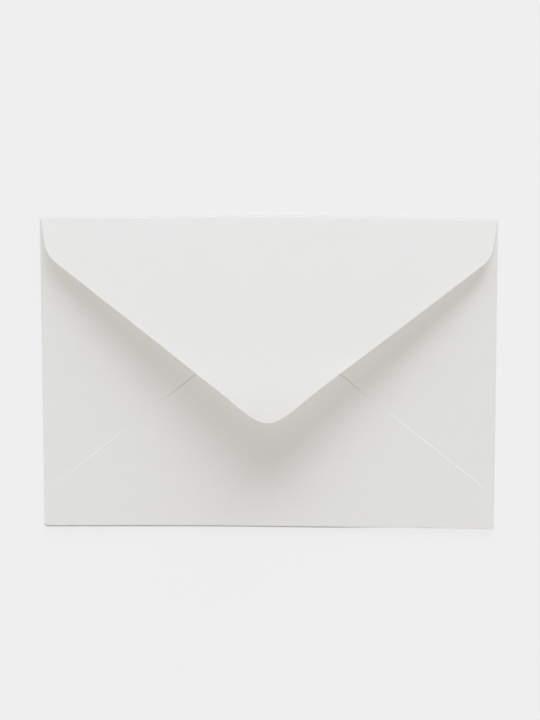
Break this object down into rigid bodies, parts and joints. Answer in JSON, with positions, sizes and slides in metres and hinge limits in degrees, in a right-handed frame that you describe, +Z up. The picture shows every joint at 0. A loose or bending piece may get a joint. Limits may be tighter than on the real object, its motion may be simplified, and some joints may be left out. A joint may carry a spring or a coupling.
{
  "type": "paper envelope",
  "caption": "Paper envelope folded from one sheet, address side down, with glued diagonal back seams and a pointed top flap that springs up from its fold; holds a card or a letter.",
  "frame": {"origin": "under the middle of the envelope, on the surface that its address side lies on", "axes": "+X along the long side, +Y towards the fold of the top flap, +Z up from the address side through the flaps"},
  "size_m": [0.176, 0.12, 0.0096],
  "materials": {
    "paper": "off-white uncoated matte paper"
  },
  "bodies": {
    "root": {"envelope": "paper"}
  },
  "joints": []
}
